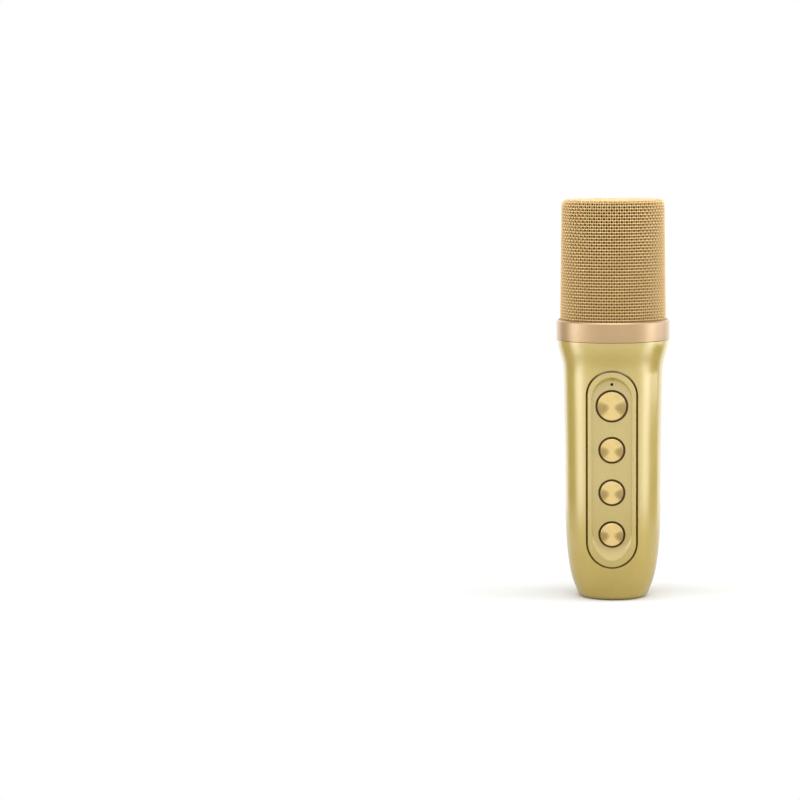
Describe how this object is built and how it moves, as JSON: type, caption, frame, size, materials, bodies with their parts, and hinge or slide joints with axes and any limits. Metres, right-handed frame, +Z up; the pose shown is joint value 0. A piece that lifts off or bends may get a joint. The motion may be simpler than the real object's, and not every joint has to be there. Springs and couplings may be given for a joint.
{
  "type": "karaoke microphone",
  "caption": "Wireless hand-held karaoke microphone with a tapered champagne-gold handle, an inset button panel and a woven-wire grille that screws off.",
  "frame": {"origin": "centre of the flat base, on the microphone's axis", "axes": "+Z up along the axis to the grille's top, -Y towards the button panel, +X to the right of the panel as it faces the viewer"},
  "size_m": [0.0454, 0.0454, 0.16],
  "materials": {
    "gold_lacquer": "metallic champagne-gold lacquer over moulded ABS, satin gloss",
    "panel_lacquer": "metallic champagne-gold lacquer over moulded ABS, a little paler, satin",
    "collar_anodised": "turned and anodised, pale rose champagne, satin",
    "cap_anodised": "spun circular brush, gold anodised",
    "mesh_wire": "woven wire, gold lacquered",
    "open_cell_foam": "matt open-cell foam",
    "black_rubber": "matt",
    "smoked_lens": "dark smoked acrylic, gloss",
    "steel_plated": "nickel plated",
    "black_plastic": "moulded, fine texture",
    "white_plastic": "moulded nylon",
    "circuit_board": "glass-epoxy board, green solder mask",
    "cell_wrap": "shrink-wrapped lithium cell",
    "capsule_alloy": "die-cast, satin",
    "lead_insulation": "insulated wire"
  },
  "bodies": {
    "handle": {"body_shell": "gold_lacquer", "button_panel": "panel_lacquer", "indicator_lens": "smoked_lens", "port_plate": "gold_lacquer", "port_plate_screws": "steel_plated", "usb_port_shell": "steel_plated", "usb_port_tongue": "black_plastic", "charging_board": "circuit_board", "charging_board_screws": "steel_plated", "charging_leads": "lead_insulation", "chassis_frame": "black_plastic", "chassis_screws": "steel_plated", "main_board": "circuit_board", "board_screws": "steel_plated", "indicator_led": "white_plastic", "radio_module": "steel_plated", "audio_processor": "black_plastic", "charge_controller": "black_plastic", "board_capacitors": "capsule_alloy", "capsule_socket": "white_plastic", "power_sockets": "white_plastic", "battery_cell": "cell_wrap", "battery_tab_top": "steel_plated", "battery_tab_bottom": "steel_plated", "battery_leads": "lead_insulation", "neck_sleeve": "gold_lacquer", "capsule_holder": "black_plastic", "holder_screws": "steel_plated", "capsule_mount": "black_rubber", "capsule_body": "capsule_alloy", "capsule_cap": "steel_plated", "capsule_leads": "lead_insulation", "power_switch_housing": "steel_plated", "upper_switch_housing": "steel_plated", "middle_switch_housing": "steel_plated", "lower_switch_housing": "steel_plated"},
    "power_button_cap": {"power_button": "cap_anodised", "power_switch_plunger": "black_plastic"},
    "upper_button_cap": {"upper_button": "cap_anodised", "upper_switch_plunger": "black_plastic"},
    "middle_button_cap": {"middle_button": "cap_anodised", "middle_switch_plunger": "black_plastic"},
    "lower_button_cap": {"lower_button": "cap_anodised", "lower_switch_plunger": "black_plastic"},
    "head_washer": {"head_gasket": "black_rubber"},
    "grille_head": {"collar_ring": "collar_anodised", "basket_retaining_ring": "steel_plated", "foam_liner": "open_cell_foam", "grille_basket": "mesh_wire"}
  },
  "joints": [
    {"name": "power_press", "type": "slide", "parent": "handle", "child": "power_button_cap", "axis": [0, 1, 0], "range_m": [0, 0.0003], "stiffness_N_per_m": 3000, "springref_m": -0.0002},
    {"name": "upper_press", "type": "slide", "parent": "handle", "child": "upper_button_cap", "axis": [0, 1, 0], "range_m": [0, 0.0003], "stiffness_N_per_m": 3000, "springref_m": -0.0002},
    {"name": "middle_press", "type": "slide", "parent": "handle", "child": "middle_button_cap", "axis": [0, 1, 0], "range_m": [0, 0.0003], "stiffness_N_per_m": 3000, "springref_m": -0.0002},
    {"name": "lower_press", "type": "slide", "parent": "handle", "child": "lower_button_cap", "axis": [0, 1, 0], "range_m": [0, 0.0003], "stiffness_N_per_m": 3000, "springref_m": -0.0002},
    {"name": "head_lift", "type": "slide", "parent": "handle", "child": "head_washer", "axis": [0, 0, 1], "range_m": [0, 0.0046]},
    {"name": "head_turn", "type": "hinge", "parent": "head_washer", "child": "grille_head", "pos_m": [0, 0, 0.108], "axis": [0, 0, 1], "range_deg": [0, 1080]}
  ],
  "couplings": [
    {"joint": "head_lift", "follows": "head_turn", "m_per_rad": 0.00023873}
  ]
}
